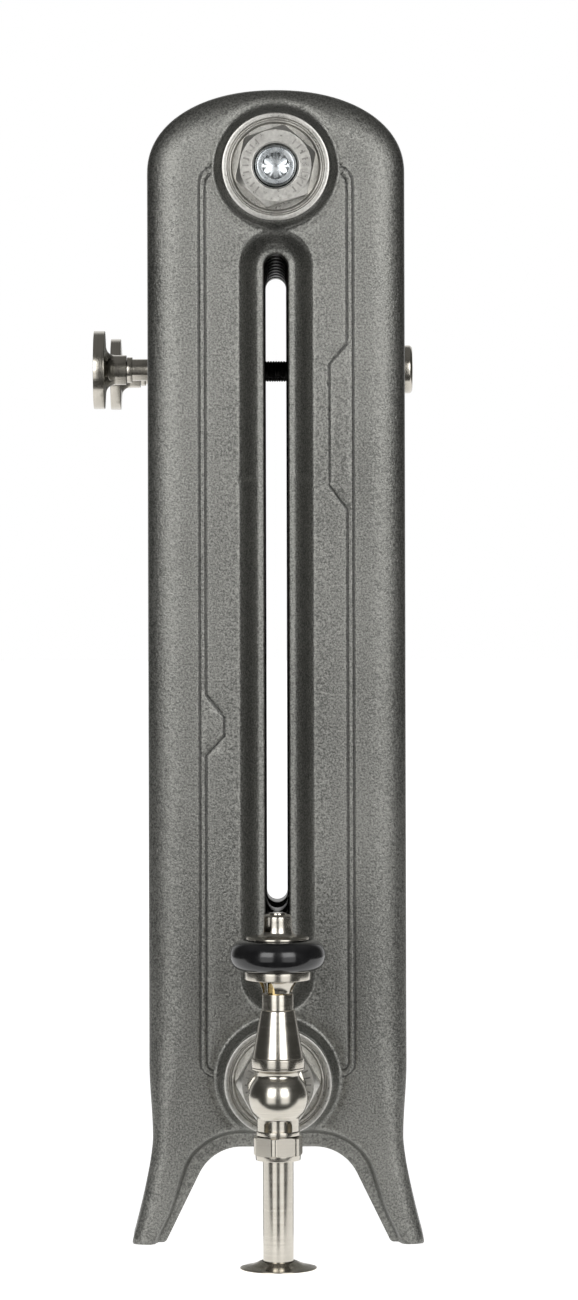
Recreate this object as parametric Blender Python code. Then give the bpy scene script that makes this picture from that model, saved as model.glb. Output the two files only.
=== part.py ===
"""Two-column cast-iron radiator with an angled thermostatic valve.

Metres, +Z up. X is the radiator's depth, with the wall at -X and the room at +X. Y is its length, with the
valve at the -Y end. The origin lies on the floor, under the middle of the whole object's box.

The stack empty marks the working frame: x from the middle of the sections, y from the outer face of the
valve-end section, z from the floor. Round pieces are lofted from rings, each given in millimetres as
(radius, height) or (corner radius, height, True) for a hexagon.
"""

import math

import bmesh
import bpy
from mathutils import Vector

MM = 0.001

# Section casting
SECTION_COUNT = 9
PITCH = 66 * MM
SHELL_THICKNESS = 53 * MM
SECTION_HALF_DEPTH = 70.75 * MM
SECTION_TOP = 633.8 * MM
LOWER_TAPPING = 90.8 * MM
TAPPING_CENTRES = 500 * MM
UPPER_TAPPING = LOWER_TAPPING + TAPPING_CENTRES
DOME_HEIGHT = 45.8 * MM
DOME_POWER = 2.15
DOME_SEGMENTS = 8
EDGE_INSET = 14 * MM
EDGE_DEPTH = 8 * MM
WALL = 4 * MM

# Slot between the columns, with a valley around it
SLOT_RADIUS = 6.6 * MM
VALLEY_RADIUS = 20.2 * MM
VALLEY_FLOOR_RADIUS = 17 * MM
VALLEY_DEPTH = 12 * MM
SLOT_LOW = 147 * MM
SLOT_HIGH = 537 * MM
SLOT_ARC_SEGMENTS = 4
ISLAND_RADIUS = 26 * MM
ISLAND_WAIST = 12 * MM

# Feet
FOOT_REACH = 80.5 * MM
LEG_EDGE_INSET = 7 * MM
LEG_EDGE_DEPTH = 5 * MM
SOLE_INNER = 62 * MM
WAIST_Z = 58 * MM
WAIST_HALF = 68.8 * MM
SHOULDER_Z = 100 * MM
FLARE_POWER = 1.35
ARCH_TOP = 52.5 * MM
ARCH_FLAT_HALF = 20 * MM
ARCH_RADIUS = 26 * MM
LEG_ANGLE = math.radians(26)
ARCH_INSET = 8 * MM
ARCH_DEPTH = 10 * MM
FOOT_CAVITY_BOTTOM = 61 * MM

# Hubs and tappings
JOINT_GAP = 0.8 * MM
HUB_RADIUS = 27.5 * MM
TAPPING_RADIUS = 21.2 * MM
HUB_SIDES = 12
NIPPLE_RADIUS = 20.2
NIPPLE_BORE = 16.5
NIPPLE_HALF_LENGTH = 13

# End fittings, in millimetres outwards from the hub face
FITTING_SIDES = 18
FLANGE_RADIUS = 29.5
HEXAGON_RADIUS = 23.1
THREAD_RADIUS = 20.2
THREAD_LENGTH = 14
FLANGE_UNDERSIDE = 1.8
FLANGE_TOP = 7.2
FITTING_FACE = 19.4

# Wall stays, in millimetres from the middle of the sections
STAY_Z = 481 * MM
STAY_JOINTS = {"near": 2, "far": 7}
WALL_FACE = 104
ROD_RADIUS = 5
ROD_CLEARANCE_RADIUS = 5.35

# Valve, in millimetres from its own axis and from the floor
VALVE_OUT = 82 * MM
WHEEL_RADIUS = 25.6
BODY_CENTRE = 91
BALL_RADIUS = 16
VALVE_SIDES = 16

END_FACE_TO_HUB = (PITCH - JOINT_GAP - SHELL_THICKNESS) / 2
STACK_LENGTH = (SECTION_COUNT - 1) * PITCH + SHELL_THICKNESS
FAR_REACH = STACK_LENGTH + END_FACE_TO_HUB + FITTING_FACE * MM
NEAR_REACH = VALVE_OUT + WHEEL_RADIUS * MM
STACK_X = (WALL_FACE * MM - FOOT_REACH) / 2
STACK_Y = (NEAR_REACH - FAR_REACH) / 2

TOWARDS_VALVE_END = (math.radians(90), 0, 0)
TOWARDS_FAR_END = (math.radians(-90), 0, 0)
TOWARDS_ROOM = (0, math.radians(90), 0)


def clear_scene():
    for obj in list(bpy.data.objects):
        bpy.data.objects.remove(obj)


def make_material(name, colour, metallic, roughness):
    made = bpy.data.materials.new(name)
    made.use_nodes = True
    shader = made.node_tree.nodes["Principled BSDF"]
    shader.inputs["Base Color"].default_value = (*colour, 1)
    shader.inputs["Metallic"].default_value = metallic
    shader.inputs["Roughness"].default_value = roughness
    return made


def make_empty(name, parent=None, location=(0, 0, 0)):
    empty = bpy.data.objects.new(name, None)
    empty.parent = parent
    empty.location = location
    bpy.context.collection.objects.link(empty)
    return empty


def place(name, data, material, parent, location=(0, 0, 0), rotation=(0, 0, 0)):
    """An object for this mesh or curve, with its material, linked to the scene."""
    if not data.materials:
        data.materials.append(material)
    obj = bpy.data.objects.new(name, data)
    obj.parent = parent
    obj.location = location
    obj.rotation_euler = rotation
    bpy.context.collection.objects.link(obj)
    return obj


def loft(name, rings, closed=False):
    """A mesh through rings of equally many points. A closed loft joins its last ring to its first."""
    shape = bmesh.new()
    loops = [[shape.verts.new(point) for point in ring] for ring in rings]
    pairs = list(zip(loops, loops[1:]))
    if closed:
        pairs.append((loops[-1], loops[0]))
    else:
        shape.faces.new(loops[0])
        shape.faces.new(loops[-1])
    for low, high in pairs:
        for i in range(len(low)):
            j = (i + 1) % len(low)
            shape.faces.new((low[i], low[j], high[j], high[i]))
    bmesh.ops.recalc_face_normals(shape, faces=shape.faces)
    mesh = bpy.data.meshes.new(name)
    shape.to_mesh(mesh)
    shape.free()
    mesh.shade_smooth()
    mesh.set_sharp_from_angle(angle=math.radians(35))
    return mesh


def turned_ring(radius, height, sides, phase, hexagon=False):
    """Points round the Z axis, on a circle or on a hexagon with a corner at the phase angle."""
    points = []
    for i in range(sides):
        angle = 2 * math.pi * i / sides
        reach = radius
        if hexagon:
            from_flat = angle % (math.pi / 3) - math.pi / 6
            reach = radius * math.cos(math.pi / 6) / math.cos(from_flat)
        points.append(
            Vector((reach * math.cos(angle + phase), reach * math.sin(angle + phase), height)) * MM
        )
    return points


def turned(name, profile, sides=VALVE_SIDES, phase=0.0, hollow=False):
    rings = [turned_ring(ring[0], ring[1], sides, phase, len(ring) > 2) for ring in profile]
    return loft(name, rings, closed=hollow)


def superellipse(half_width, height, start, end, segments):
    """Points (x, z) from one angle to another, measured about the shape's own centre."""
    points = []
    for i in range(segments + 1):
        angle = start + (end - start) * i / segments
        cosine = math.cos(angle)
        sine = math.sin(angle)
        x = math.copysign(abs(cosine) ** (2 / DOME_POWER), cosine) * half_width
        z = math.copysign(abs(sine) ** (2 / DOME_POWER), sine) * height
        points.append((x, z))
    return points


def dome_points(half_width, height, start, centre_z):
    arc = superellipse(half_width, height, start, start + math.pi, DOME_SEGMENTS)
    return [(x, z + centre_z) for x, z in arc]


def plain_outline(half_width, top, bottom):
    """A column section without feet: two domes, with straight sides between them."""
    upper = SECTION_TOP - DOME_HEIGHT
    lower = LOWER_TAPPING + UPPER_TAPPING - upper
    points = dome_points(half_width, top - upper, 0, upper)
    points += dome_points(half_width, lower - bottom, math.pi, lower)
    return [(x, z, EDGE_INSET, EDGE_DEPTH) for x, z in points]


def leg_outer(z):
    """Half width of the splayed legs at this height."""
    if z >= WAIST_Z:
        share = (SHOULDER_Z - z) / (SHOULDER_Z - WAIST_Z)
        ease = (1 - math.cos(math.pi * share)) / 2
        return SECTION_HALF_DEPTH - (SECTION_HALF_DEPTH - WAIST_HALF) * ease
    share = (WAIST_Z - z) / WAIST_Z
    return WAIST_HALF + (FOOT_REACH - WAIST_HALF) * share**FLARE_POWER


def arch_points():
    """The right half of the arch between the legs, from the sole up to the middle of its flat top."""
    centre = Vector((ARCH_FLAT_HALF, ARCH_TOP - ARCH_RADIUS))
    points = [(SOLE_INNER, 0)]
    steps = 4
    for i in range(steps + 1):
        angle = LEG_ANGLE + (math.pi / 2 - LEG_ANGLE) * i / steps
        x = centre.x + ARCH_RADIUS * math.cos(angle)
        points.append((x, centre.y + ARCH_RADIUS * math.sin(angle)))
    return points


def foot_outline():
    """A column section with two legs. Each point carries its edge rounding: inset, then depth."""
    upper = SECTION_TOP - DOME_HEIGHT
    edge = (EDGE_INSET, EDGE_DEPTH)
    outline = [(x, z, *edge) for x, z in dome_points(SECTION_HALF_DEPTH, DOME_HEIGHT, 0, upper)]
    heights = (SHOULDER_Z, 80 * MM, WAIST_Z, 44 * MM, 28 * MM, 12 * MM, 0)
    leg = [(leg_outer(z), z, LEG_EDGE_INSET, LEG_EDGE_DEPTH) for z in heights]
    arch = [(x, z, ARCH_INSET, ARCH_DEPTH) for x, z in arch_points()]
    outline += [(-x, z, inset, depth) for x, z, inset, depth in leg + arch]
    outline += reversed(leg + arch)
    return outline


def inset_outline(outline):
    """The outline moved inwards by each point's inset. Points on the floor move only sideways."""
    moved = []
    for i, (x, z, inset, _) in enumerate(outline):
        before = Vector(outline[i - 1][:2])
        after = Vector(outline[(i + 1) % len(outline)][:2])
        along = (after - before).normalized()
        inward = Vector((-along.y, along.x))
        if z <= 0:
            inward = Vector((math.copysign(1, inward.x), 0))
        moved.append((x + inward.x * inset, z + inward.y * inset))
    return moved


def rounded_slab(name, outline, half_thickness):
    """The outline as a slab across Y, its edges eased back on both faces."""
    inner = inset_outline(outline)
    rings = []
    for side in (-1, 1):
        face = [Vector((x, side * half_thickness, z)) for x, z in inner]
        rim = [Vector((x, side * (half_thickness - depth), z)) for x, z, _, depth in outline]
        rings += [face, rim] if side < 0 else [rim, face]
    return loft(name, rings)


def stadium_ring(radius, y):
    """A ring at this depth around the slot's middle line."""
    points = []
    for centre_z, start in ((SLOT_HIGH, 0), (SLOT_LOW, math.pi)):
        for i in range(SLOT_ARC_SEGMENTS + 1):
            angle = start + math.pi * i / SLOT_ARC_SEGMENTS
            points.append(Vector((radius * math.cos(angle), y, centre_z + radius * math.sin(angle))))
    return points


def slot_cutter_mesh():
    beyond = SHELL_THICKNESS / 2 + MM
    floor = SHELL_THICKNESS / 2 - VALLEY_DEPTH
    steps = (
        (-beyond, VALLEY_RADIUS),
        (-floor, VALLEY_FLOOR_RADIUS),
        (-floor, SLOT_RADIUS),
        (floor, SLOT_RADIUS),
        (floor, VALLEY_FLOOR_RADIUS),
        (beyond, VALLEY_RADIUS),
    )
    return loft("slot_cutter", [stadium_ring(radius, y) for y, radius in steps])


def island_mesh():
    """The metal round the slot, waisted so that water passes on both sides of it."""
    reach = SHELL_THICKNESS / 2 - WALL / 2
    steps = ((-reach, ISLAND_RADIUS), (0, ISLAND_WAIST), (reach, ISLAND_RADIUS))
    return loft("slot_island", [stadium_ring(radius, y) for y, radius in steps])


def tapping_cylinders(name, radius, half_length):
    """Two cylinders along Y, one at each tapping."""
    shape = bmesh.new()
    for centre_z in (LOWER_TAPPING, UPPER_TAPPING):
        rings = []
        for y in (-half_length, half_length):
            ring = []
            for i in range(HUB_SIDES):
                angle = 2 * math.pi * (i + 0.5) / HUB_SIDES
                x = radius * math.cos(angle)
                ring.append(shape.verts.new((x, y, centre_z + radius * math.sin(angle))))
            rings.append(ring)
        low, high = rings
        shape.faces.new(low)
        shape.faces.new(high)
        for i in range(HUB_SIDES):
            j = (i + 1) % HUB_SIDES
            shape.faces.new((low[i], low[j], high[j], high[i]))
    bmesh.ops.recalc_face_normals(shape, faces=shape.faces)
    mesh = bpy.data.meshes.new(name)
    shape.to_mesh(mesh)
    shape.free()
    return mesh


def boolean(obj, mesh, operation, parent=None, location=(0, 0, 0), rotation=(0, 0, 0)):
    """Adds a Boolean modifier with a hidden helper object made from this mesh."""
    helper = place(mesh.name + "_helper", mesh, obj.data.materials[0], parent, location, rotation)
    helper.hide_render = True
    helper.display_type = "WIRE"
    modifier = obj.modifiers.new(mesh.name, "BOOLEAN")
    modifier.operation = operation
    modifier.object = helper
    return helper


def cast_section(name, outline, cavity_bottom, material):
    """One hollow casting as a mesh: slab, hubs, waterway, slot and tappings."""
    half = SHELL_THICKNESS / 2
    source = place(name + "_source", rounded_slab(name, outline, half), material, None)
    cavity_half = SECTION_HALF_DEPTH - WALL
    cavity = plain_outline(cavity_half, SECTION_TOP - WALL, cavity_bottom)
    hub_half = (PITCH - JOINT_GAP) / 2
    helpers = [
        boolean(source, tapping_cylinders("hubs", HUB_RADIUS, hub_half), "UNION"),
        boolean(source, rounded_slab("waterway", cavity, half - WALL), "DIFFERENCE"),
        boolean(source, island_mesh(), "UNION"),
        boolean(source, slot_cutter_mesh(), "DIFFERENCE"),
        boolean(source, tapping_cylinders("tappings", TAPPING_RADIUS, hub_half + MM), "DIFFERENCE"),
    ]
    bpy.context.view_layer.update()
    graph = bpy.context.evaluated_depsgraph_get()
    mesh = bpy.data.meshes.new_from_object(source.evaluated_get(graph))
    mesh.name = name
    for helper in [source, *helpers]:
        bpy.data.objects.remove(helper)
    return mesh


def build_sections(stack, material):
    cast_bottom = LOWER_TAPPING + UPPER_TAPPING - SECTION_TOP
    plain = plain_outline(SECTION_HALF_DEPTH, SECTION_TOP, cast_bottom)
    middle = cast_section("middle_casting", plain, cast_bottom + WALL, material)
    footed = cast_section("foot_casting", foot_outline(), FOOT_CAVITY_BOTTOM, material)
    for number in range(1, SECTION_COUNT + 1):
        y = (number - 1) * PITCH + SHELL_THICKNESS / 2
        if number in (1, SECTION_COUNT):
            place(f"section_{number}_foot", footed, material, stack, (0, y, 0))
        else:
            place(f"section_{number}", middle, material, stack, (0, y, 0))


def build_nipples(stack, material):
    """Threaded tubes that draw neighbouring sections together."""
    profile = (
        (NIPPLE_BORE, -NIPPLE_HALF_LENGTH),
        (NIPPLE_RADIUS, -NIPPLE_HALF_LENGTH),
        (NIPPLE_RADIUS, NIPPLE_HALF_LENGTH),
        (NIPPLE_BORE, NIPPLE_HALF_LENGTH),
    )
    mesh = turned("nipple", profile, sides=12, hollow=True)
    for joint in range(1, SECTION_COUNT):
        y = joint * PITCH - (PITCH - SHELL_THICKNESS) / 2
        for row, z in (("top", UPPER_TAPPING), ("bottom", LOWER_TAPPING)):
            name = f"nipple_{row}_{joint}"
            place(name, mesh, material, stack, (0, y, z), TOWARDS_FAR_END)


def fitting_outside(face_corner=HEXAGON_RADIUS - 1.6):
    """Thread, flange and hexagon of an end fitting, up to the rim of its face."""
    return [
        (THREAD_RADIUS, -THREAD_LENGTH),
        (THREAD_RADIUS, FLANGE_UNDERSIDE),
        (FLANGE_RADIUS, FLANGE_UNDERSIDE),
        (FLANGE_RADIUS, FLANGE_TOP - 1),
        (FLANGE_RADIUS - 1, FLANGE_TOP),
        (HEXAGON_RADIUS, FLANGE_TOP, True),
        (HEXAGON_RADIUS, FITTING_FACE - 1.4, True),
        (face_corner, FITTING_FACE, True),
    ]


def build_end_fittings(stack, cast_metal, bright_metal, rubber):
    near_y = -END_FACE_TO_HUB
    far_y = STACK_LENGTH + END_FACE_TO_HUB
    ends = {
        "vent_bush": ((0, near_y, UPPER_TAPPING), TOWARDS_VALVE_END),
        "valve_bush": ((0, near_y, LOWER_TAPPING), TOWARDS_VALVE_END),
        "far_top_plug": ((0, far_y, UPPER_TAPPING), TOWARDS_FAR_END),
        "return_bush": ((0, far_y, LOWER_TAPPING), TOWARDS_FAR_END),
    }
    gasket = turned("gasket", ((20.6, 0.3), (28.6, 0.3), (28.6, 1.5), (20.6, 1.5)), 18, hollow=True)
    for name, (location, rotation) in ends.items():
        place(f"{name}_gasket", gasket, rubber, stack, location, rotation)

    first_corner = math.radians(90 - 11.8)
    counterbore = [(12.1, FITTING_FACE), (12.1, 8), (10.9, 8), (10.9, -THREAD_LENGTH)]
    vent_bush = turned(
        "vent_bush", fitting_outside() + counterbore, FITTING_SIDES, first_corner, hollow=True
    )
    place("vent_bush", vent_bush, cast_metal, stack, *ends["vent_bush"])
    plain_bore = [(11, FITTING_FACE), (11, -THREAD_LENGTH)]
    valve_bush = turned("valve_bush", fitting_outside() + plain_bore, FITTING_SIDES, hollow=True)
    place("valve_bush", valve_bush, cast_metal, stack, *ends["valve_bush"])
    place("return_bush", valve_bush, cast_metal, stack, *ends["return_bush"])
    far_plug = turned("far_top_plug", fitting_outside(), FITTING_SIDES)
    place("far_top_plug", far_plug, cast_metal, stack, *ends["far_top_plug"])

    plug_profile = (
        (10.4, -8),
        (10.4, 10.4),
        (11.3, 10.4),
        (11.3, 17.4),
        (7.9, 18.6),
        (6.9, 18.6, True),
        (6.9, 10.6, True),
        (1, 8.6),
    )
    location, rotation = ends["vent_bush"]
    vent_axis = make_empty("vent_axis", stack, location)
    vent_plug = turned("vent_plug", plug_profile, FITTING_SIDES, math.radians(90))
    place("vent_plug", vent_plug, bright_metal, vent_axis, rotation=rotation)
    o_ring_profile = ((10.9, 8.3), (11.8, 8.3), (11.8, 10.1), (10.9, 10.1))
    o_ring = turned("o_ring", o_ring_profile, FITTING_SIDES, math.radians(90), hollow=True)
    place("vent_plug_o_ring", o_ring, rubber, vent_axis, rotation=rotation)


def build_wall_stays(stack, nickel, black_steel):
    """Wall plate, sleeve, threaded rod and front nut, at each of two section joints."""
    back = -WALL_FACE
    bore = ROD_CLEARANCE_RADIUS
    plate = (
        (21.6, back),
        (22.3, back + 0.7),
        (22.3, back + 5.2),
        (21.6, back + 5.9),
        (13.5, back + 7),
        (10, back + 10),
        (8.3, back + 15),
        (8.3, back + 18.6),
        (bore, back + 18.6),
        (bore, back + 4),
    )
    sleeve = ((bore, -85.1), (7.3, -85.1), (7.3, -82), (6.2, -82), (6.2, -66), (bore, -66))
    rod = ((ROD_RADIUS, back + 4.3), (ROD_RADIUS, 76))
    nut = (
        (bore, 76.4),
        (bore, 71.2),
        (12.9, 71.2),
        (13.7, 72),
        (13.7, 76.4),
        (12.4, 77.6),
        (6, 78.1),
    )
    pieces = {
        "stay_wall_plate": (turned("stay_wall_plate", plate, 16), nickel),
        "stay_sleeve": (turned("stay_sleeve", sleeve, 12, hollow=True), nickel),
        "stay_rod": (turned("stay_rod", rod, 12), black_steel),
        "stay_front_nut": (turned("stay_front_nut", nut, 14), nickel),
    }
    for side, joint in STAY_JOINTS.items():
        y = joint * PITCH - (PITCH - SHELL_THICKNESS) / 2
        for name, (mesh, material) in pieces.items():
            place(f"{name}_{side}", mesh, material, stack, (0, y, STAY_Z), TOWARDS_ROOM)


def ball_profile(low, high, steps):
    """Rings on the valve's ball between two heights."""
    rings = []
    for i in range(steps + 1):
        height = low + (high - low) * i / steps
        rings.append((math.sqrt(BALL_RADIUS**2 - (height - BODY_CENTRE) ** 2), height))
    return rings


def build_valve_body(valve, nickel):
    outside = [
        (10.4, 64),
        (10.4, 70.8),
        (11.6, 71),
        (11.6, 73.4),
        (11.4, 73.6),
        (11.4, 81.2),
        *ball_profile(82, 101.5, 5),
        (11.5, 103),
        (12.3, 105),
        (14.3, 106.2),
        (14.3, 107),
    ]
    body = place("valve_body", turned("valve_body", outside, 14), nickel, valve)
    branch = turned("branch", ((13.2, 4), (13.2, 27)), 12)
    side = {"parent": valve, "location": (0, 0, BODY_CENTRE * MM), "rotation": TOWARDS_FAR_END}
    boolean(body, branch, "UNION", **side)
    passage = (
        (8.1, 63),
        (8.1, 72),
        (5.5, 72),
        (5.5, 84.3),
        (9.5, 84.3),
        (9.5, 108),
    )
    boolean(body, turned("passage", passage, 12), "DIFFERENCE", parent=valve)
    boolean(body, turned("outlet", ((6.3, 5), (6.3, 28)), 10), "DIFFERENCE", **side)


def build_union(valve, nickel):
    """Union nut and tailpiece, along Y from the valve body to the bush. Heights count from the valve's axis."""
    nut = (
        (13.7, 20.5),
        (17.5, 20.5, True),
        (17.5, 36.5, True),
        (11, 36.5),
        (11, 33.5),
        (13.7, 33.5),
    )
    tail = ((7, 27.3), (13.2, 27.3), (13.2, 33.2), (10.4, 33.2), (10.4, 71), (7, 71))
    location = (0, 0, BODY_CENTRE * MM)
    union_nut = turned("union_nut", nut, 18, math.radians(-45), hollow=True)
    place("union_nut", union_nut, nickel, valve, location, TOWARDS_FAR_END)
    tailpiece = turned("union_tailpiece", tail, 16, hollow=True)
    place("union_tailpiece", tailpiece, nickel, valve, location, TOWARDS_FAR_END)


def build_supply(valve, nickel, copper, brass):
    nut = (
        (7.9, 57.8),
        (12, 57.8),
        (12, 60.4),
        (14.1, 60.5, True),
        (14.1, 70.5, True),
        (10.9, 70.5),
        (10.9, 61),
        (7.9, 60.8),
    )
    nut_mesh = turned("compression_nut", nut, 18, math.radians(20), hollow=True)
    place("compression_nut", nut_mesh, nickel, valve)
    olive = ((7.8, 61.3), (8.9, 61.3), (9.6, 62.5), (8.9, 63.7), (7.8, 63.7))
    place("olive", turned("olive", olive, 12, hollow=True), brass, valve)
    pipe = ((6.4, 0), (7.5, 0), (7.5, 71.6), (6.4, 71.6))
    place("supply_pipe", turned("supply_pipe", pipe, 16, hollow=True), copper, valve)
    sleeve = ((7.8, 0.5), (8.2, 0.5), (8.2, 57.4), (7.8, 57.4))
    place("pipe_sleeve", turned("pipe_sleeve", sleeve, 16, hollow=True), nickel, valve)
    plate = ((8.7, 0), (20.6, 0), (20.6, 0.7), (14.5, 2.2), (9.7, 4), (8.7, 4))
    place("floor_plate", turned("floor_plate", plate, 20, hollow=True), nickel, valve)


def build_valve_head(valve, nickel, steel, brass):
    bonnet = (
        (3, 99.5),
        (9.1, 99.5),
        (9.1, 107.3),
        (14.4, 107.3),
        (14.4, 112.3),
        (13.5, 112.6),
        (9.1, 137.8),
        (8.45, 138.1),
        (8.45, 146.4),
        (5.9, 146.4),
        (5.9, 114),
        (3, 114),
    )
    place("valve_bonnet", turned("valve_bonnet", bonnet, 18, hollow=True), nickel, valve)
    gland = (
        (2.6, 136.5),
        (5.4, 136.5),
        (5.4, 152),
        (5.4, 152.2, True),
        (5.4, 156.8, True),
        (2.6, 156.8),
    )
    place("gland_nut", turned("gland_nut", gland, 12, hollow=True), brass, valve)
    stem = make_empty("stem_axis", valve)
    spindle = (
        (2.2, 87.8),
        (2.2, 128),
        (5.1, 128.1),
        (5.1, 129.9),
        (2.2, 130),
        (2.2, 159.6),
    )
    place("valve_spindle", turned("valve_spindle", spindle, 10), steel, stem)
    disc = ((7, 84.6), (7.4, 85.4), (7.4, 86.8), (6, 87.5))
    place("valve_disc", turned("valve_disc", disc, 14), brass, stem)
    capsule = ((7.4, 160), (8.4, 161), (8.4, 171), (7.4, 172))
    place("sensor_capsule", turned("sensor_capsule", capsule, 14), brass, stem)


def build_return_spring(valve, steel):
    """A round-wire compression spring between the bonnet's ledge and the spindle's collar."""
    turns = 4
    points_a_turn = 8
    mean_radius = 4.25 * MM
    wire_radius = 0.5 * MM
    low = 114.9 * MM
    high = 127.3 * MM
    curve = bpy.data.curves.new("return_spring", "CURVE")
    curve.dimensions = "3D"
    curve.bevel_depth = wire_radius
    curve.bevel_resolution = 0
    curve.use_fill_caps = True
    spline = curve.splines.new("POLY")
    count = turns * points_a_turn
    spline.points.add(count)
    for i in range(count + 1):
        angle = 2 * math.pi * i / points_a_turn
        z = low + (high - low) * i / count
        spline.points[i].co = (mean_radius * math.cos(angle), mean_radius * math.sin(angle), z, 1)
    place("return_spring", curve, steel, valve)


def build_handwheel(valve, nickel, black):
    wheel = make_empty("wheel_axis", valve)
    carrier = (
        (6.1, 146.9),
        (8.3, 146.9),
        (8.6, 149.5),
        (11, 153.9),
        (17.65, 154.1),
        (17.65, 158.4),
        (12, 158.4),
        (12, 175.1),
        (9.1, 175.1),
        (9.1, 157.4),
        (6.1, 157.2),
    )
    place("wheel_carrier", turned("wheel_carrier", carrier, 18, hollow=True), nickel, wheel)
    middle = 167
    ring = (
        (12.5, middle - 6.6),
        (14, middle - 8.2),
        (20.5, middle - 8.2),
        (24.2, middle - 5.5),
        (WHEEL_RADIUS, middle),
        (24.2, middle + 5.5),
        (20.5, middle + 8.2),
        (14, middle + 8.2),
        (12.5, middle + 6.6),
    )
    place("handwheel_ring", turned("handwheel_ring", ring, 20, hollow=True), black, wheel)
    cap = (
        (5.2, 186.5),
        (5.2, 175.5),
        (16.9, 175.5),
        (16.9, 177),
        (8.8, 177.5),
        (7.7, 181),
        (7.6, 188.3),
        (4.5, 188.6),
        (4.5, 189.6),
    )
    place("wheel_cap", turned("wheel_cap", cap, 18), nickel, wheel)


def main():
    clear_scene()
    iron = make_material("cast_iron", (0.105, 0.105, 0.1), 0.35, 0.6)
    bush_iron = make_material("bush_iron", (0.24, 0.23, 0.22), 0.6, 0.45)
    zinc = make_material("bright_zinc", (0.72, 0.72, 0.7), 1, 0.25)
    nickel = make_material("satin_nickel", (0.6, 0.57, 0.52), 1, 0.3)
    black = make_material("gloss_black", (0.01, 0.01, 0.011), 0, 0.12)
    black_steel = make_material("black_steel", (0.03, 0.03, 0.03), 0.8, 0.5)
    steel = make_material("steel", (0.55, 0.55, 0.55), 1, 0.3)
    copper = make_material("copper", (0.72, 0.38, 0.25), 1, 0.3)
    brass = make_material("brass", (0.7, 0.52, 0.25), 1, 0.35)
    rubber = make_material("rubber", (0.02, 0.02, 0.02), 0, 0.7)

    stack = make_empty("stack", None, (STACK_X, STACK_Y, 0))
    valve = make_empty("valve_axis", stack, (0, -VALVE_OUT, 0))
    build_sections(stack, iron)
    build_nipples(stack, steel)
    build_end_fittings(stack, bush_iron, zinc, rubber)
    build_wall_stays(stack, nickel, black_steel)
    build_valve_body(valve, nickel)
    build_union(valve, nickel)
    build_supply(valve, nickel, copper, brass)
    build_valve_head(valve, nickel, steel, brass)
    build_return_spring(valve, steel)
    build_handwheel(valve, nickel, black)


main()
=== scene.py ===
import math

import bmesh
import bpy
import numpy as np
from mathutils import Matrix, Vector, geometry, kdtree


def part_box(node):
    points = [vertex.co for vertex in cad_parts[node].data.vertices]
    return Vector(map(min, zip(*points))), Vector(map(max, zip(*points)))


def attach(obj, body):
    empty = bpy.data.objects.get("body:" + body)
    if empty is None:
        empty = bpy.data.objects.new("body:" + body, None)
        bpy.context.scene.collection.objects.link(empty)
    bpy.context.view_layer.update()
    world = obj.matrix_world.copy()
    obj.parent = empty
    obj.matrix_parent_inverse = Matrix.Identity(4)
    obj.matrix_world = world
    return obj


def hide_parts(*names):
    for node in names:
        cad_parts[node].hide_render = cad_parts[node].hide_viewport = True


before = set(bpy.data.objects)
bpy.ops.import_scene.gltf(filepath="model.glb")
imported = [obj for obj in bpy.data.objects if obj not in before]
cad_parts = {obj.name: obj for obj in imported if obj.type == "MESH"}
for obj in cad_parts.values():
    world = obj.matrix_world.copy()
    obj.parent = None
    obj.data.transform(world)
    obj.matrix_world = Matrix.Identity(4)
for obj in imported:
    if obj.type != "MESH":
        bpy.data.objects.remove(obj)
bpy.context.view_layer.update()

MM = 0.001

# --- places, from the CAD parts


def centre(node):
    low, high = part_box(node)
    return (low + high) / 2


SECTIONS = ["section_1_foot", *(f"section_{n}" for n in range(2, 9)), "section_9_foot"]
SECTION_Y = [centre(name).y for name in SECTIONS]
MIDDLE_X = centre("section_2").x
UPPER_Z = centre("nipple_top_1").z
LOWER_Z = centre("nipple_bottom_1").z
VALVE_Y = centre("floor_plate").y
BODY_Z = centre("union_nut").z
STAY_Z = centre("stay_rod_near").z
NEAR_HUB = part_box("section_1_foot")[0].y
FAR_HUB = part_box("section_9_foot")[1].y

VALVE_AXIS = Matrix.Translation((MIDDLE_X, VALVE_Y, 0))
TO_NEAR_END = Matrix.Rotation(math.radians(90), 4, "X")
TO_FAR_END = Matrix.Rotation(math.radians(-90), 4, "X")
TO_ROOM = Matrix.Rotation(math.radians(90), 4, "Y")

# --- node trees as expressions


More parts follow.
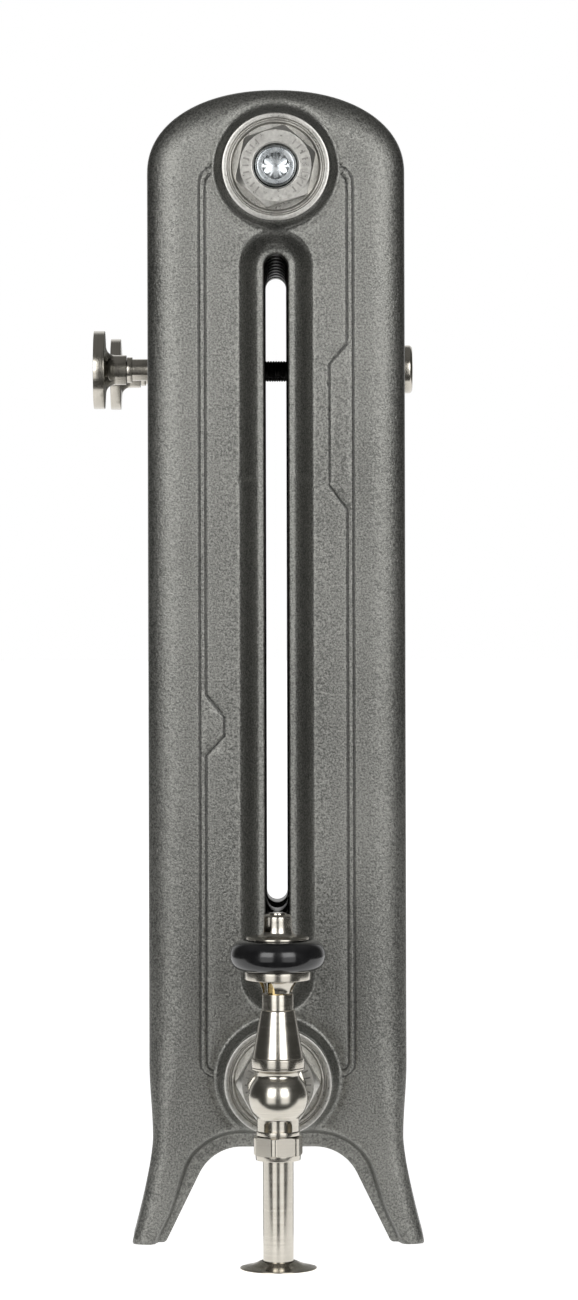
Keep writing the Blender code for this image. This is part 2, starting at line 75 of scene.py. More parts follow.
class Socket:
    """An output socket of a node tree, for use in Python expressions."""

    def __init__(self, tree, output):
        self.tree = tree
        self.output = output

    @staticmethod
    def node(tree, kind, values=None, output=0, **settings):
        """Adds a node: its settings first, then the values or links of its inputs."""
        made = tree.nodes.new(kind)
        for key, value in settings.items():
            setattr(made, key, value)
        for key, value in (values or {}).items():
            if isinstance(value, Socket):
                tree.links.new(value.output, made.inputs[key])
            else:
                made.inputs[key].default_value = value
        return Socket(tree, made.outputs[output]) if len(made.outputs) else None

    def other(self, output):
        """Another output of the same node."""
        return Socket(self.tree, self.output.node.outputs[output])

    def maths(self, operation, *values):
        return Socket.node(self.tree, "ShaderNodeMath", dict(enumerate(values)), operation=operation)

    def __add__(self, value):
        return self.maths("ADD", self, value)

    def __radd__(self, value):
        return self.maths("ADD", value, self)

    def __sub__(self, value):
        return self.maths("SUBTRACT", self, value)

    def __rsub__(self, value):
        return self.maths("SUBTRACT", value, self)

    def __mul__(self, value):
        return self.maths("MULTIPLY", self, value)

    def __rmul__(self, value):
        return self.maths("MULTIPLY", value, self)

    def __truediv__(self, value):
        return self.maths("DIVIDE", self, value)

    def __pow__(self, value):
        return self.maths("POWER", self, value)

    def root(self):
        return self.maths("SQRT", self)

    def below(self, value):
        """1 where this is less than the value, else 0."""
        return self.maths("LESS_THAN", self, value)

    def size(self):
        return self.maths("ABSOLUTE", self)

    def clamped(self, low=0.0, high=1.0):
        return self.maths("MINIMUM", self.maths("MAXIMUM", self, low), high)

    def smooth(self, low, high):
        """0 below low, 1 above high, with a smooth step between them."""
        share = ((self - low) / (high - low)).clamped()
        return share * share * (3 - 2 * share)


def vector(tree, **parts):
    """A vector from its X, Y and Z; a part that isn't given is 0."""
    return Socket.node(tree, "ShaderNodeCombineXYZ", parts)


def parts_of(vector_socket):
    """The X, Y and Z of a vector."""
    split = Socket.node(vector_socket.tree, "ShaderNodeSeparateXYZ", {0: vector_socket})
    return split, split.other("Y"), split.other("Z")


def joined(first, second):
    """Two geometries as one."""
    both = Socket.node(first.tree, "GeometryNodeJoinGeometry", {0: first})
    first.tree.links.new(second.output, both.output.node.inputs[0])
    return both


# --- finishes


def noise(place, scale, detail=2.0, roughness=0.5):
    """Cloudy noise from 0 to 1; scale counts its features in a metre."""
    values = {"Vector": place, "Scale": scale, "Detail": detail, "Roughness": roughness}
    return Socket.node(place.tree, "ShaderNodeTexNoise", values, noise_dimensions="3D")


def stretched(place, scale):
    """The same place, scaled by its own factor on each axis."""
    return Socket.node(place.tree, "ShaderNodeMapping", {"Vector": place, "Scale": scale})


def between(share, first, second):
    """A colour that goes from the first to the second as share goes from 0 to 1."""
    first, second = (c if isinstance(c, Socket) else (*c, 1) for c in (first, second))
    values = {0: share, 6: first, 7: second}
    return Socket.node(share.tree, "ShaderNodeMix", values, 2, data_type="RGBA")


def bump(height, distance):
    """A normal for small relief, with the distance in metres that a height of 1 stands for."""
    values = {"Height": height, "Distance": distance, "Strength": 1.0}
    return Socket.node(height.tree, "ShaderNodeBump", values)


def finish(name, build, **constants):
    """A material: build takes the object's own coordinates and returns what changes over the surface."""
    made = bpy.data.materials.new(name)
    made.use_nodes = True
    tree = made.node_tree
    tree.nodes.clear()
    place = Socket.node(tree, "ShaderNodeTexCoord").other("Object")
    values = {name.replace("_", " "): value for name, value in constants.items()}
    shader = Socket.node(tree, "ShaderNodeBsdfPrincipled", {**values, **build(place)})
    Socket.node(tree, "ShaderNodeOutputMaterial", {"Surface": shader})
    return made


def sanded_paint(place):
    """Metallic paint over a sand-cast skin: fine grit, small pits, slow cloudiness, and painted shade that
    darkens the paint along the bead outlines where the grooves fall in shade.
    """
    sand = noise(place, 950, 3, 0.65)
    grit = noise(place, 330, 2, 0.5)
    pits = 1 - noise(place, 620, 1).smooth(0.25, 0.34)
    cloud = noise(place, 14, 3)
    speck = (sand * 0.85 + cloud * 0.15).smooth(0.33, 0.67)
    # Painted shade: within 0.8 mm of the bead outlines the colour goes most of the way to near black,
    # standing in for the shade in the grooves.
    line = Socket.node(place.tree, "ShaderNodeAttribute", output=2, attribute_name="bead")
    painted_groove_shade = 1 - line.size().smooth(0.1, 0.8)
    colour = between(speck, (0.10, 0.10, 0.093), (0.285, 0.284, 0.264))
    colour = between(painted_groove_shade * 0.75, colour, (0.02, 0.02, 0.02))
    height = sand * 0.55 + grit * 0.6 - pits * 0.25
    return {
        "Base Color": colour,
        "Roughness": (0.33 + 0.14 * speck + 0.10 * pits).clamped(),
        "Metallic": 0.80 + 0.12 * speck,
        "Normal": bump(height, 0.00028),
    }


def machined_iron(place):
    """Turned and tumbled fitting: light grey with a faint grain."""
    grain = noise(place, 700, 2)
    cloud = noise(place, 60, 2)
    share = (grain * 0.6 + cloud * 0.4).smooth(0.3, 0.7)
    return {
        "Base Color": between(share, (0.42, 0.41, 0.385), (0.58, 0.57, 0.535)),
        "Roughness": 0.27 + 0.08 * share,
        "Normal": bump(grain, 0.00002),
    }


def turned_nickel(scale):
    """Satin nickel with fine lines that run round the piece's own axis."""

    def build(place):
        lines = noise(stretched(place, scale), 1.0, 2)
        haze = noise(place, 90, 2)
        share = (lines * 0.6 + haze * 0.4).smooth(0.3, 0.7)
        return {
            "Base Color": between(share, (0.48, 0.45, 0.395), (0.58, 0.55, 0.49)),
            "Roughness": 0.18 + 0.08 * share,
            "Normal": bump(lines, 0.000004),
        }

    return build


def bright_zinc(place):
    """Plated plug, brighter and bluer than the iron round it."""
    lines = noise(stretched(place, (300, 2600, 300)), 1.0, 2)
    haze = noise(place, 160, 2)
    share = (lines * 0.5 + haze * 0.5).smooth(0.3, 0.7)
    return {
        "Base Color": between(share, (0.40, 0.43, 0.45), (0.55, 0.57, 0.58)),
        "Roughness": 0.25 + 0.06 * share,
        "Normal": bump(haze, 0.000004),
    }


def mottled(dark, light, roughness, spread, scale, detail, relief=0.0):
    """A finish between two colours, a little rougher where it is lighter."""

    def build(place):
        share = noise(place, scale, detail).smooth(0.3, 0.7)
        made = {"Base Color": between(share, dark, light), "Roughness": roughness + spread * share}
        if relief:
            made["Normal"] = bump(share, relief)
        return made

    return build


def aged_metal(dark, light, roughness):
    """A plain metal with cloudy tarnish."""

    def build(place):
        cloud = noise(place, 140, 4, 0.6).smooth(0.3, 0.7)
        grain = noise(place, 900, 2)
        return {
            "Base Color": between(cloud, dark, light),
            "Roughness": roughness + 0.15 * cloud,
            "Normal": bump(grain, 0.00003),
        }

    return build


# Noise scales whose fine lines run round one axis.
AROUND_Z = (40, 40, 3200)
AROUND_Y = (40, 3200, 40)
AROUND_X = (3200, 40, 40)
CAST_PAINT = finish("graphite_cast_paint", sanded_paint)
BUSH_IRON = finish("machined_bush_iron", machined_iron, Metallic=0.85)
NICKEL = finish("satin_nickel_upright", turned_nickel(AROUND_Z), Metallic=1.0)
NICKEL_SIDEWAYS = finish("satin_nickel_towards_room", turned_nickel(AROUND_X), Metallic=1.0)
NICKEL_UNION = finish("satin_nickel_union", turned_nickel(AROUND_Y), Metallic=1.0)
ZINC = finish("bright_zinc_plug", bright_zinc, Metallic=1.0)
LACQUER = mottled((0.008, 0.008, 0.009), (0.013, 0.013, 0.014), 0.16, 0.06, 220, 3)
BLACK = finish("black_gloss_lacquer", LACQUER, Coat_Weight=0.12, Coat_Roughness=0.08)
DARK_OXIDE = mottled((0.014, 0.013, 0.012), (0.045, 0.042, 0.038), 0.38, 0.2, 800, 2)
OXIDE = finish("black_oxide_rod", DARK_OXIDE, Metallic=0.7)
NIPPLE_IRON = finish("nipple_iron", aged_metal((0.20, 0.19, 0.18), (0.34, 0.33, 0.31), 0.4), Metallic=0.9)
COPPER = finish("copper_tube", aged_metal((0.50, 0.22, 0.13), (0.80, 0.42, 0.28), 0.22), Metallic=1.0)
BRASS = finish("inner_brass", aged_metal((0.52, 0.37, 0.15), (0.78, 0.60, 0.29), 0.2), Metallic=1.0)
STEEL = finish("inner_steel", aged_metal((0.45, 0.45, 0.45), (0.66, 0.66, 0.65), 0.2), Metallic=1.0)
MATT_SEAL = mottled((0.012, 0.012, 0.012), (0.03, 0.03, 0.03), 0.62, 0.2, 900, 3, 0.00008)
RUBBER = finish("black_rubber", MATT_SEAL)

# --- pieces


def linked(name, data):
    """A new object in the scene."""
    made = bpy.data.objects.new(name, data)
    bpy.context.scene.collection.objects.link(made)
    return made


def closed_up(made, name):
    """The mesh of a bmesh, which is freed."""
    mesh = bpy.data.meshes.new(name)
    made.to_mesh(mesh)
    made.free()
    return mesh


def put(name, mesh, material, body, slot_name, nodes, matrix=None):
    """Makes one finished piece of the object, in place of the CAD nodes that it stands for."""
    if matrix is not None:
        mesh.transform(matrix)
    mesh.materials.clear()
    mesh.materials.append(material)
    for polygon in mesh.polygons:
        polygon.material_index = 0
    piece = linked(name, mesh)
    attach(piece, body)
    if nodes:
        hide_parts(*nodes)


def evaluated(name, mesh, modifier_type, set_up):
    """A new mesh, after one modifier on a working object that is then removed."""
    worker = linked(name, mesh)
    modifier = worker.modifiers.new(name, modifier_type)
    set_up(modifier)
    graph = bpy.context.evaluated_depsgraph_get()
    graph.update()
    result = bpy.data.meshes.new_from_object(worker.evaluated_get(graph))
    worker.modifiers.remove(modifier)
    bpy.data.objects.remove(worker)
    return result


def boolean(mesh, tool_mesh, operation):
    """The mesh after a Boolean with the tool's mesh."""
    tool = linked("tool", tool_mesh)

    def set_up(modifier):
        modifier.operation = operation
        modifier.solver = "EXACT"
        modifier.object = tool

    result = evaluated("boolean", mesh, "BOOLEAN", set_up)
    bpy.data.objects.remove(tool)
    shade_by_angle(result)
    return result


def shade_by_angle(mesh, limit=math.radians(32)):
    """Smooth faces, with sharp edges where two faces meet at more than the limit."""
    made = bmesh.new()
    made.from_mesh(mesh)
    for face in made.faces:
        face.smooth = True
    for edge in made.edges:
        edge.smooth = len(edge.link_faces) == 2 and edge.calc_face_angle(0) < limit
    made.to_mesh(mesh)
    made.free()


WIDE_ROUNDING = 1.5


def bend(start, corner, end, steps):
    """Points of a curve that leaves the start towards the corner and turns to the end."""
    shares = [k / steps for k in range(steps + 1)]
    return [tuple(start * (1 - t) ** 2 + corner * 2 * t * (1 - t) + end * t**2) for t in shares]


def softened(profile):
    """A turning profile of (radius, height, rounding) corners, with the rounded ones cut into arcs."""
    points = []
    count = len(profile)
    for i, corner in enumerate(profile):
        if len(corner) != 3 or not corner[2]:
            points.append(corner[:2] if len(corner) == 3 else corner)
            continue
        here = Vector(corner[:2])
        before = Vector(profile[i - 1][:2]) - here
        after = Vector(profile[(i + 1) % count][:2]) - here
        start = here + before.normalized() * min(corner[2], before.length * 0.49)
        end = here + after.normalized() * min(corner[2], after.length * 0.49)
        points += bend(start, here, end, 6 if corner[2] > WIDE_ROUNDING else 3)
    return points


def hexagon(corner, height, face_radius=0.0, slope=0.0, blunt=0.35):
    """A ring of a turning profile that follows a hexagon, cut back by a turned chamfer."""
    return (corner, height, face_radius, slope, blunt)


def ring_point(entry, angle):
    """Radius and height of a profile's ring at an angle from the first hexagon corner."""
    if len(entry) == 2:
        return entry
    corner, height, face_radius, slope, blunt = entry
    to_flat = (angle % math.radians(60)) - math.radians(30)
    radius = corner * math.cos(math.radians(30)) / math.cos(to_flat)
    radius = min(radius, corner - blunt)
    return radius, height - slope * max(0.0, radius - face_radius)


def turned(name, profile, sides=96, phase=0.0):
    """A lathed mesh about Z. A profile in millimetres that starts off the axis closes into a ring."""
    made = bmesh.new()
    rings = []
    for entry in softened(profile):
        if entry[0] == 0:
            rings.append([made.verts.new((0, 0, entry[1] * MM))])
            continue
        ring = []
        for i in range(sides):
            angle = 2 * math.pi * i / sides
            radius, height = ring_point(entry, angle)
            x = radius * math.cos(angle + phase)
            y = radius * math.sin(angle + phase)
            ring.append(made.verts.new((x * MM, y * MM, height * MM)))
        rings.append(ring)
    pairs = list(zip(rings, rings[1:]))
    if profile[0][0]:
        pairs.append((rings[-1], rings[0]))
    for low, high in pairs:
        for i in range(sides):
            k = (i + 1) % sides
            corners = [low[i % len(low)], low[k % len(low)], high[k % len(high)], high[i % len(high)]]
            made.faces.new(dict.fromkeys(corners))
    mesh = closed_up(made, name)
    shade_by_angle(mesh)
    return mesh


def lathe(
    piece, node, profile, material, slot_name="satin_nickel", sides=96, phase=0.0,
    body="radiator", place=VALVE_AXIS,
):
    """A turned piece in place of its CAD node."""
    mesh = turned(node, profile, sides, phase)
    put(piece, mesh, material, body, slot_name, [node], place)


# --- castings, as a flat face

# Sizes in millimetres from the section's middle line and the floor.
HALF_DEPTH = 70.75
TOP = 633.8
DOME_HEIGHT = 45.8
DOME_POWER = 2.15
DOME_BASE = TOP - DOME_HEIGHT
LOWER_DOME_BASE = (LOWER_Z + UPPER_Z) / MM - DOME_BASE
SHOULDER = 100
WAIST = 58
WAIST_HALF = 68.8
FOOT_REACH = 80.5
SOLE_INNER = 62
FLARE_POWER = 1.35
SOLE_ROUND = 1.8
ARCH_TOP = 52.5
ARCH_FLAT = 20
ARCH_RADIUS = 26
LEG_ANGLE = math.radians(26)
SLOT_LOW = 147
SLOT_HIGH = 537
SLOT_RADIUS = 6.6
HUBS = (LOWER_Z / MM, UPPER_Z / MM)
SHELL_HALF = 26.5
SIDE_STEP = 6.0
BEAD_STOP = 35.2
BEAD_SHOULDER = 0.9
BEAD_LINE = 0.75
ARCH_EDGE = 1.2
ANKLE, KNEE, THIGH = 12.0, 50.0, 125.0
END_FILL, MIDDLE_FILL = 5.0, 7.0
NOT_NEAR = 99.0

RIM_ROWS = (0.12, 0.5, 1.1, 2.0, 3.1, 4.4, 5.9, 7.5, 9.2, 11, 13, 15.2, 17.6, 20.2, 23)
ARCH_ROWS = (0.12, 0.45, 1.0, 2.2, 3.4, 4.3, 5.2, 6.0, 6.8, 7.6, 8.4, 9.2, 10.1, 11.1, 12.2)
SOLE_ROWS = (0.12, 0.5, 1.1, 1.8)
SLOT_ROWS = (6.72, 7.0, 7.5, 8.2, 9.0, 10, 11, 12, 13, 14, 15, 16, 17, 18, 19, 20, 21, 22.2, 25, 28.5, 32.5)
HUB_ROWS = (20.5, 20.7, 24, 28.2, 29.0, 29.8, 30.6, 31.4, 32.2, 33.0, 34.0, 35.5, 37.2, 39.0)
BEAD_ROWS = (-1.4, -0.6, 0.0, 0.6, 1.4)


def signed_power(value, power):
    """The power of a value's size, with the value's sign."""
    return math.copysign(abs(value) ** power, value)


def dome(start, centre_z, height, segments=72):
    """Half of a superellipse, counter-clockwise from an angle."""
    points = []
    for angle in np.linspace(start, start + math.pi, segments + 1):
        x = signed_power(math.cos(angle), 2 / DOME_POWER)
        z = signed_power(math.sin(angle), 2 / DOME_POWER)
        points.append((x * HALF_DEPTH, z * height + centre_z))
    return points


def stepped(start, end, step):
    """Points from start up to, but not with, the end."""
    start, end = np.array(start, float), np.array(end, float)
    count = max(1, round(float(np.linalg.norm(end - start)) / step))
    return [tuple(start + (end - start) * i / count) for i in range(count)]


def leg_outer(z):
    """Half width of the splayed legs at this height."""
    if z >= WAIST:
        share = (SHOULDER - z) / (SHOULDER - WAIST)
        return HALF_DEPTH - (HALF_DEPTH - WAIST_HALF) * (1 - math.cos(math.pi * share)) / 2
    return WAIST_HALF + (FOOT_REACH - WAIST_HALF) * ((WAIST - z) / WAIST) ** FLARE_POWER


def corner_arc(before, corner, after, reach):
    """A small round corner between two directions."""
    here = Vector(corner)
    start = here + (Vector(before) - here).normalized() * reach
    end = here + (Vector(after) - here).normalized() * reach
    return bend(start, here, end, 4)


def plain_outline():
    """A middle section: every part of its edge has the rim's rounding."""
    upper = dome(0, DOME_BASE, DOME_HEIGHT)
    lower = dome(math.pi, LOWER_DOME_BASE, DOME_HEIGHT)
    left = stepped(upper[-1], lower[0], SIDE_STEP)[1:]
    right = stepped(lower[-1], upper[0], SIDE_STEP)[1:]
    line = upper + left + lower + right
    return [(point, "rim") for point in line]


def foot_outline():
    """An end section: rim, then a sole, the arch between the legs, and the other sole."""
    upper = dome(0, DOME_BASE, DOME_HEIGHT)
    left = stepped(upper[-1], (-HALF_DEPTH, SHOULDER), SIDE_STEP)[1:]
    heights = np.linspace(SHOULDER, 4, 33)
    outer = [(-leg_outer(z), z) for z in heights]
    middle = (-(FOOT_REACH + SOLE_INNER) / 2, 0)
    outer_corner = corner_arc(outer[-1], (-FOOT_REACH, 0), middle, SOLE_ROUND)
    arch = []
    for angle in np.linspace(LEG_ANGLE, math.pi / 2, 19):
        x = ARCH_FLAT + ARCH_RADIUS * math.cos(angle)
        arch.append((-x, ARCH_TOP - ARCH_RADIUS + ARCH_RADIUS * math.sin(angle)))
    inner_corner = corner_arc(middle, (-SOLE_INNER, 0), arch[0], SOLE_ROUND)
    inner = stepped(inner_corner[-1], arch[0], 2.5)[1:]
    half_flat = stepped(arch[-1], (0, ARCH_TOP), 2.5)[1:]
    sole = stepped(outer_corner[-1], inner_corner[0], 2.0)[1:]
    left_half = [(point, "rim") for point in left + outer + outer_corner[:3]]
    left_half += [(point, "sole") for point in outer_corner[3:] + sole + inner_corner[:2]]
    left_half += [(point, "arch") for point in inner_corner[2:] + inner + arch + half_flat]
    right_half = [((-x, z), kind) for (x, z), kind in reversed(left_half)]
    top = [(point, "rim") for point in upper]
    return top + left_half + [((0.0, ARCH_TOP), "arch")] + right_half


def stadium(radius, arc_segments=24):
    """A closed line at one distance from the slot's middle line, counter-clockwise."""
    sweep = np.linspace(0, math.pi, arc_segments + 1)
    line = [(radius * math.cos(a), SLOT_HIGH + radius * math.sin(a)) for a in sweep]
    line += stepped((-radius, SLOT_HIGH), (-radius, SLOT_LOW), SIDE_STEP)[1:]
    line += [(-radius * math.cos(a), SLOT_LOW - radius * math.sin(a)) for a in sweep]
    return line + stepped((radius, SLOT_LOW), (radius, SLOT_HIGH), SIDE_STEP)[1:]


def bead_outlines():
    """The two flat beads on an end casting's outer face, as closed lines."""
    tab = [(-38.8, 301.7), (-28.8, 289.5), (-28.8, 279), (-38.8, 268.3)]
    plaque = [(38.8, 403), (29, 416), (29, 483), (38.8, 494)]
    top_outer = [(-42.4, 580), (-42, 584.5), (-40.6, 588), (-38, 590.6), (-30, 594)]
    top_inner = [(-30, 590), (-36, 587), (-38.2, 584), (-38.8, 580)]
    foot_inner = [(-38.8, 100), (-38.2, 97.6), (-36.4, 96), (-30, 94.5)]
    foot_outer = [(-30, 91), (-37.3, 92.6), (-40.2, 94.5), (-42, 97), (-42.4, 100)]
    left = top_inner + tab + foot_inner + foot_outer + top_outer
    before_plaque = [(-x, z) for x, z in foot_outer + top_outer + top_inner]
    right = before_plaque + plaque[::-1] + [(-x, z) for x, z in foot_inner]
    lines = []
    for corners in (left, right):
        line = []
        for start, end in zip(corners, corners[1:] + corners[:1]):
            line += stepped(start, end, 3.0)
        lines.append(line)
    return lines


def distances(points, line, closed=True):
    """Distance from each point to a polyline."""
    start = np.array(line, float)
    end = np.roll(start, -1, axis=0)
    if not closed:
        start, end = start[:-1], end[:-1]
    span = end - start
    length = np.maximum((span**2).sum(1), 1e-12)
    best = np.full(len(points), np.inf)
    for low in range(0, len(points), 2000):
        part = points[low : low + 2000, None, :] - start[None]
        share = np.clip((part * span[None]).sum(2) / length, 0, 1)
        gap = part - share[..., None] * span[None]
        best[low : low + 2000] = np.sqrt((gap**2).sum(2)).min(1)
    return best


def inside(points, line):
    """Whether each point is inside a closed polyline."""
    start = np.array(line, float)
    end = np.roll(start, -1, axis=0)
    x, z = points[:, 0, None], points[:, 1, None]
    crosses = (start[None, :, 1] > z) != (end[None, :, 1] > z)
    rise = np.where(end[:, 1] == start[:, 1], 1e-12, end[:, 1] - start[:, 1])
    at = start[None, :, 0] + (z - start[None, :, 1]) * (end[:, 0] - start[:, 0])[None] / rise[None]
    return (crosses & (x < at)).sum(1) % 2 == 1


def offset_line(line, distance):
    """Each point of a counter-clockwise closed line, moved to the left by a distance."""
    points = np.array(line, float)
    ahead = np.roll(points, -1, axis=0) - np.roll(points, 1, axis=0)
    ahead /= np.linalg.norm(ahead, axis=1)[:, None]
    return points + np.stack([-ahead[:, 1], ahead[:, 0]], axis=1) * distance


def flat_face(outline, beads, fill):
    """One triangulated face of a section, with rows of points along every feature.

    Each family of points is (points, room), and a point nearer than its room to an earlier one is left out.
    """
    line = [point for point, kind in outline]
    kinds = np.array([kind for point, kind in outline])
    slot = stadium(SLOT_RADIUS)
    accepted = np.array(line + slot, float)
    sweep = np.linspace(0, 2 * math.pi, 72, endpoint=False)
    rows = []
    for hub in HUBS:
        rows += [np.stack([r * np.cos(sweep), hub + r * np.sin(sweep)], axis=1) for r in HUB_ROWS]
    families = [(np.concatenate(rows), 0.6)]
    families.append((np.concatenate([np.array(stadium(radius)) for radius in SLOT_ROWS]), 0.0))
    for bead in beads:
        rows = [offset_line(bead, distance) for distance in BEAD_ROWS]
        families.append((np.concatenate(rows), 0.25))
    rows = []
    for kind, steps in (("rim", RIM_ROWS), ("sole", SOLE_ROWS), ("arch", ARCH_ROWS)):
        for step in steps:
            moved = offset_line(line, step)[kinds == kind]
            if len(moved):
                rows.append(moved[distances(moved, line) > step * 0.97])
    families.append((np.concatenate(rows), 0.0))
    low, high = accepted.min(0), accepted.max(0)
    lattice = []
    for i, z in enumerate(np.arange(low[1], high[1], fill * 0.866)):
        xs = np.arange(low[0] + (fill / 2 if i % 2 else 0), high[0], fill)
        lattice.append(np.stack([xs, np.full(len(xs), z)], axis=1))
    families.append((np.concatenate(lattice), fill * 0.6))
    for points, room in families:
        keep = inside(points, line) & ~inside(points, slot)
        points = points[keep]
        if room:
            tree = kdtree.KDTree(len(accepted))
            for i, point in enumerate(accepted):
                tree.insert((*point, 0), i)
            tree.balance()
            points = np.array([p for p in points if tree.find((*p, 0))[2] > room])
        if len(points):
            accepted = np.concatenate([accepted, points])
    count, slot_count = len(line), len(slot)
    edges = [(i, (i + 1) % count) for i in range(count)]
    edges += [(count + i, count + (i + 1) % slot_count) for i in range(slot_count)]
    spots = [Vector(point) for point in accepted]
    verts, _, faces, *_ = geometry.delaunay_2d_cdt(spots, edges, [], 0, 1e-5, False)
    points = np.array([tuple(vert) for vert in verts])
    triangles = np.array([face for face in faces])
    middles = points[triangles].mean(1)
    triangles = triangles[inside(middles, line) & ~inside(middles, slot)]
    return points, triangles


def face_mesh(name, outline, beads, fill):
    """The flat face as a mesh, with the distances that its relief, and the painted shade along its beads, are
    worked out from.
    """
    points, triangles = flat_face(outline, beads, fill)
    mesh = bpy.data.meshes.new(name)
    corners = [(x * MM, 0, z * MM) for x, z in points]
    mesh.from_pydata(corners, [], triangles.tolist())
    line = [point for point, kind in outline]
    kinds = [kind for point, kind in outline]
    closed = "arch" not in kinds
    rim = [point for point, kind in outline if kind == "rim"]
    if not closed:
        last = max(i for i, kind in enumerate(kinds) if kind == "arch")
        rim = [p for p, kind in outline[last:] + outline[:last] if kind == "rim"]
    fields = {"rim": distances(points, rim, closed)}
    arch = [point for point, kind in outline if kind == "arch"]
    fields["arch"] = distances(points, arch, False) if arch else np.full(len(points), NOT_NEAR)
    fields["bead"] = np.full(len(points), NOT_NEAR)
    for bead in beads:
        signed = distances(points, bead) * np.where(inside(points, bead), -1, 1)
        fields["bead"] = np.where(np.abs(signed) < np.abs(fields["bead"]), signed, fields["bead"])
    for hub in HUBS:
        from_hub = np.hypot(points[:, 0], points[:, 1] - hub)
        fields["bead"][from_hub < BEAD_STOP] = NOT_NEAR
    for field, values in fields.items():
        attribute = mesh.attributes.new(field, "FLOAT", "POINT")
        attribute.data.foreach_set("value", values.astype(np.float32))
    return mesh


# --- castings, raised by nodes


def group_tree(name, sizes):
    """A Geometry Nodes tree with a geometry input, a material and named sizes, and its input sockets."""
    tree = bpy.data.node_groups.new(name, "GeometryNodeTree")
    tree.interface.new_socket("Geometry", in_out="OUTPUT", socket_type="NodeSocketGeometry")
    tree.interface.new_socket("Geometry", in_out="INPUT", socket_type="NodeSocketGeometry")
    tree.interface.new_socket("Material", in_out="INPUT", socket_type="NodeSocketMaterial")
    for size, value in sizes.items():
        kind = "NodeSocketInt" if isinstance(value, int) else "NodeSocketFloat"
        socket = tree.interface.new_socket(size, in_out="INPUT", socket_type=kind)
        socket.default_value = value
    inputs = Socket.node(tree, "NodeGroupInput")
    return tree, inputs, {name: inputs.other(name) for name in sizes}


def close_tree(tree, inputs, shape):
    """Ends a tree in Realize Instances and Set Material."""
    realized = Socket.node(tree, "GeometryNodeRealizeInstances", {0: shape})
    values = {"Geometry": realized, "Material": inputs.other("Material")}
    painted = Socket.node(tree, "GeometryNodeSetMaterial", values)
    Socket.node(tree, "NodeGroupOutput", {0: painted})


def grown(name, mesh, tree, material, sizes):
    """The mesh after a Geometry Nodes tree, with the tree's inputs set by their identifiers."""

    def set_up(modifier):
        modifier.node_group = tree
        for item in tree.interface.items_tree:
            if item.in_out == "INPUT" and item.name == "Material":
                modifier[item.identifier] = material
            elif item.in_out == "INPUT" and item.name in sizes:
                modifier[item.identifier] = sizes[item.name]

    return evaluated(name, mesh, "NODES", set_up)


CASTING = {
    "Half thickness": SHELL_HALF,
    "Rim inset": 21.0,
    "Rim depth": 10.0,
    "Leg rim inset": 9.0,
    "Leg rim depth": 6.0,
    "Slot low": float(SLOT_LOW),
    "Slot high": float(SLOT_HIGH),
    "Slot radius": SLOT_RADIUS,
    "Slot rounding": 1.4,
    "Valley depth": 12.0,
    "Valley floor": 7.6,
    "Valley edge": 20.9,
    "Valley power": 1.35,
    "Shoulder depth": 0.9,
    "Shoulder edge": 36.0,
    "Lower hub": HUBS[0],
    "Upper hub": HUBS[1],
    "Hub rise": 9.1,
    "Hub radius": 28.8,
    "Hub foot": 35.0,
    "Moat depth": 3.0,
    "Moat floor": 27.5,
    "Moat edge": 40.0,
    "Tapping radius": 20.6,
    "Tapping depth": 20.0,
    "Arch depth": 10.0,
    "Arch lip": 7.0,
    "Arch step": 11.6,
    "Leg lip": 3.4,
    "Leg step": 6.8,
    "Sole rounding": 1.6,
    "Bead height": 0.35,
    "Bead groove": 0.8,
}


